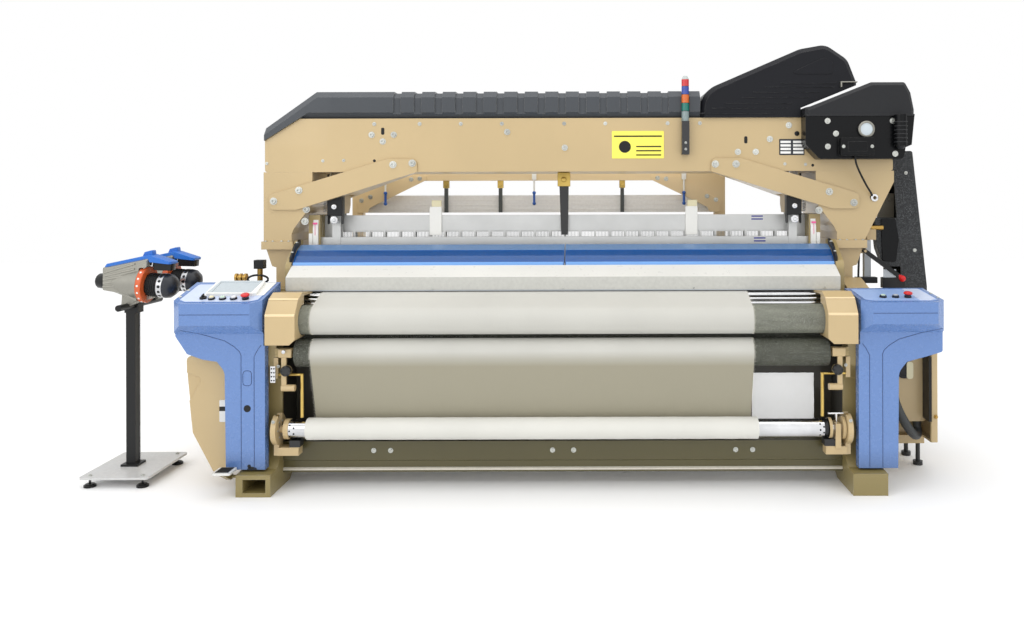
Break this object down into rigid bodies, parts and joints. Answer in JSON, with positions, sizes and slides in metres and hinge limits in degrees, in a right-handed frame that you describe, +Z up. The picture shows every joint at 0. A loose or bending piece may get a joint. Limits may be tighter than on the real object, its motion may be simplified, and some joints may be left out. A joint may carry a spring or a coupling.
{
  "type": "power loom",
  "caption": "Wide water-jet power loom with overhead dobby, take-up rollers, twin control consoles and a separate weft feeder stand.",
  "frame": {"origin": "middle of the whole machine's footprint, feeder stand included, on the floor", "axes": "+X across the loom to the operator's right, +Y from the operator's front towards the warp beam, +Z up"},
  "size_m": [4.621, 2.09, 2.361],
  "materials": {
    "console_blue": "semi-gloss",
    "tan_paint": "semi-gloss",
    "olive_paint": "satin",
    "cover_dark": "fine grain",
    "dobby_black": "gloss",
    "dobby_cover": "fine grain",
    "black_guard": "satin",
    "panel_white": "satin",
    "clear_blue": "clear tinted",
    "grip_grey": "emery grip",
    "machined_steel": "turned",
    "plated_steel": "zinc plated",
    "heald_aluminium": "satin",
    "reed_steel": "satin",
    "cloth": "plain weave",
    "yarn": "filament yarn",
    "cabinet_grey": "satin",
    "screen": "gloss",
    "button_ivory": "gloss",
    "button_green": "gloss",
    "button_white": "gloss",
    "button_red": "gloss",
    "lamp": "coloured lenses",
    "black_rubber": "moulded",
    "black_paint": "satin",
    "silver_casting": "cast",
    "motor_grey": "satin",
    "lever_red": "with a red ball"
  },
  "bodies": {
    "frame": {"side_frame_left": "olive_paint", "side_frame_right": "olive_paint", "cross_beams": "olive_paint", "upper_beam": "tan_paint", "post_left": "tan_paint", "post_right": "tan_paint", "braces": "tan_paint", "rear_portal": "tan_paint", "beam_cover": "cover_dark", "hump_cover": "cover_dark", "dobby_case": "dobby_black", "dobby_cover": "dobby_cover", "dobby_cable": "black_rubber", "drive_guard": "black_guard", "console_left": "console_blue", "console_right": "console_blue", "side_cover_left": "tan_paint", "electric_cabinet": "cabinet_grey", "drain_hose": "black_rubber", "roller_covers": "tan_paint", "front_panel": "panel_white", "touch_screen": "screen", "signal_lamp": "lamp", "cloth_rods": "machined_steel", "cloth_web": "cloth", "beam_holders": "olive_paint", "drive_units": "motor_grey", "warp_sheet": "yarn", "feeder_stand": "black_paint", "weft_feeders": "silver_casting", "water_pump": "motor_grey"},
    "cabinet_door": {"cabinet_door": "cabinet_grey"},
    "splash_cover_left": {"splash_cover_left": "clear_blue"},
    "splash_cover_right": {"splash_cover_right": "clear_blue"},
    "push_button_1": {"push_button_1": "button_ivory"},
    "push_button_2": {"push_button_2": "button_green"},
    "push_button_3": {"push_button_3": "button_white"},
    "stop_button_left": {"stop_button_left": "button_red"},
    "stop_button_right": {"stop_button_right": "button_red"},
    "start_button": {"start_button": "button_green"},
    "jog_button": {"jog_button": "button_white"},
    "foot_pedal": {"foot_pedal": "plated_steel"},
    "hand_lever": {"hand_lever": "lever_red"},
    "take_up_roller": {"take_up_roller": "grip_grey"},
    "press_roller": {"press_roller": "grip_grey"},
    "guide_roller": {"guide_roller": "grip_grey"},
    "cloth_beam": {"cloth_beam": "machined_steel", "cloth_roll": "cloth"},
    "press_lever_left": {"press_lever_left": "black_paint"},
    "press_lever_right": {"press_lever_right": "black_paint"},
    "heald_frame_1": {"heald_frame_1": "heald_aluminium"},
    "heald_frame_2": {"heald_frame_2": "heald_aluminium"},
    "heald_frame_3": {"heald_frame_3": "heald_aluminium"},
    "heald_frame_4": {"heald_frame_4": "heald_aluminium"},
    "sley": {"sley": "machined_steel", "reed": "reed_steel"},
    "main_shaft": {"main_shaft": "machined_steel"},
    "warp_beam": {"warp_beam": "machined_steel", "warp_yarn": "yarn"},
    "back_rest_roller": {"back_rest_roller": "machined_steel"}
  },
  "joints": [
    {"name": "take_up_turn", "type": "hinge", "parent": "frame", "child": "take_up_roller", "pos_m": [0.1995, -0.855, 0.873], "axis": [1, 0, 0], "continuous": true},
    {"name": "press_turn", "type": "hinge", "parent": "frame", "child": "press_roller", "pos_m": [0.1995, -0.7618, 0.7853], "axis": [1, 0, 0], "continuous": true},
    {"name": "guide_turn", "type": "hinge", "parent": "frame", "child": "guide_roller", "pos_m": [0.1995, -0.855, 0.702], "axis": [1, 0, 0], "continuous": true},
    {"name": "cloth_beam_turn", "type": "hinge", "parent": "frame", "child": "cloth_beam", "pos_m": [0.1995, -0.875, 0.314], "axis": [1, 0, 0], "continuous": true},
    {"name": "warp_beam_turn", "type": "hinge", "parent": "frame", "child": "warp_beam", "pos_m": [0.1995, 0.645, 0.52], "axis": [1, 0, 0], "continuous": true},
    {"name": "back_rest_turn", "type": "hinge", "parent": "frame", "child": "back_rest_roller", "pos_m": [0.1995, 0.555, 1.06], "axis": [1, 0, 0], "continuous": true},
    {"name": "main_shaft_turn", "type": "hinge", "parent": "frame", "child": "main_shaft", "pos_m": [0.1995, -0.205, 0.48], "axis": [1, 0, 0], "continuous": true},
    {"name": "sley_swing", "type": "hinge", "parent": "frame", "child": "sley", "pos_m": [0.1995, -0.535, 0.56], "axis": [1, 0, 0], "range_deg": [0, 7]},
    {"name": "heald_1_lift", "type": "slide", "parent": "frame", "child": "heald_frame_1", "axis": [0, 0, 1], "range_m": [0, 0.13]},
    {"name": "heald_2_lift", "type": "slide", "parent": "frame", "child": "heald_frame_2", "axis": [0, 0, 1], "range_m": [0, 0.13]},
    {"name": "heald_3_lift", "type": "slide", "parent": "frame", "child": "heald_frame_3", "axis": [0, 0, 1], "range_m": [-0.13, 0]},
    {"name": "heald_4_lift", "type": "slide", "parent": "frame", "child": "heald_frame_4", "axis": [0, 0, 1], "range_m": [-0.13, 0]},
    {"name": "splash_left_hinge", "type": "hinge", "parent": "frame", "child": "splash_cover_left", "pos_m": [0.1995, -0.594, 1.138], "axis": [1, 0, 0], "range_deg": [0, 75]},
    {"name": "splash_right_hinge", "type": "hinge", "parent": "frame", "child": "splash_cover_right", "pos_m": [0.1995, -0.594, 1.138], "axis": [1, 0, 0], "range_deg": [0, 75]},
    {"name": "push_button_1_press", "type": "slide", "parent": "frame", "child": "push_button_1", "axis": [0, -0.2516, 0.9678], "range_m": [-0.004, 0], "stiffness_N_per_m": 1000, "springref_m": 0.001},
    {"name": "push_button_2_press", "type": "slide", "parent": "frame", "child": "push_button_2", "axis": [0, -0.2516, 0.9678], "range_m": [-0.004, 0], "stiffness_N_per_m": 1000, "springref_m": 0.001},
    {"name": "push_button_3_press", "type": "slide", "parent": "frame", "child": "push_button_3", "axis": [0, -0.2516, 0.9678], "range_m": [-0.004, 0], "stiffness_N_per_m": 1000, "springref_m": 0.001},
    {"name": "stop_button_left_press", "type": "slide", "parent": "frame", "child": "stop_button_left", "axis": [0, -0.2516, 0.9678], "range_m": [-0.004, 0], "stiffness_N_per_m": 1000, "springref_m": 0.001},
    {"name": "start_button_press", "type": "slide", "parent": "frame", "child": "start_button", "axis": [0, -0.1118, 0.9937], "range_m": [-0.004, 0], "stiffness_N_per_m": 1000, "springref_m": 0.001},
    {"name": "jog_button_press", "type": "slide", "parent": "frame", "child": "jog_button", "axis": [0, -0.1118, 0.9937], "range_m": [-0.004, 0], "stiffness_N_per_m": 1000, "springref_m": 0.001},
    {"name": "stop_button_right_press", "type": "slide", "parent": "frame", "child": "stop_button_right", "axis": [0, -0.1118, 0.9937], "range_m": [-0.004, 0], "stiffness_N_per_m": 1000, "springref_m": 0.001},
    {"name": "pedal_press", "type": "hinge", "parent": "frame", "child": "foot_pedal", "pos_m": [-1.5005, -0.905, 0.08], "axis": [1, 0, 0], "range_deg": [0, 12], "stiffness_Nm_per_rad": 10, "springref_deg": -8.59},
    {"name": "press_lever_left_swing", "type": "hinge", "parent": "frame", "child": "press_lever_left", "pos_m": [-1.2205, -0.909, 0.712], "axis": [1, 0, 0], "range_deg": [-35, 0]},
    {"name": "press_lever_right_swing", "type": "hinge", "parent": "frame", "child": "press_lever_right", "pos_m": [1.6195, -0.909, 0.712], "axis": [1, 0, 0], "range_deg": [-35, 0]},
    {"name": "hand_lever_swing", "type": "hinge", "parent": "frame", "child": "hand_lever", "pos_m": [1.9155, -0.405, 1.192], "axis": [0, 1, 0], "range_deg": [-35, 0]},
    {"name": "cabinet_door_hinge", "type": "hinge", "parent": "frame", "child": "cabinet_door", "pos_m": [2.1945, -0.322, 0.43], "axis": [0, 0, 1], "range_deg": [0, 85]}
  ],
  "couplings": [
    {"joint": "press_turn", "follows": "take_up_turn", "ratio": -1.4854},
    {"joint": "guide_turn", "follows": "take_up_turn", "ratio": 1.0408}
  ]
}
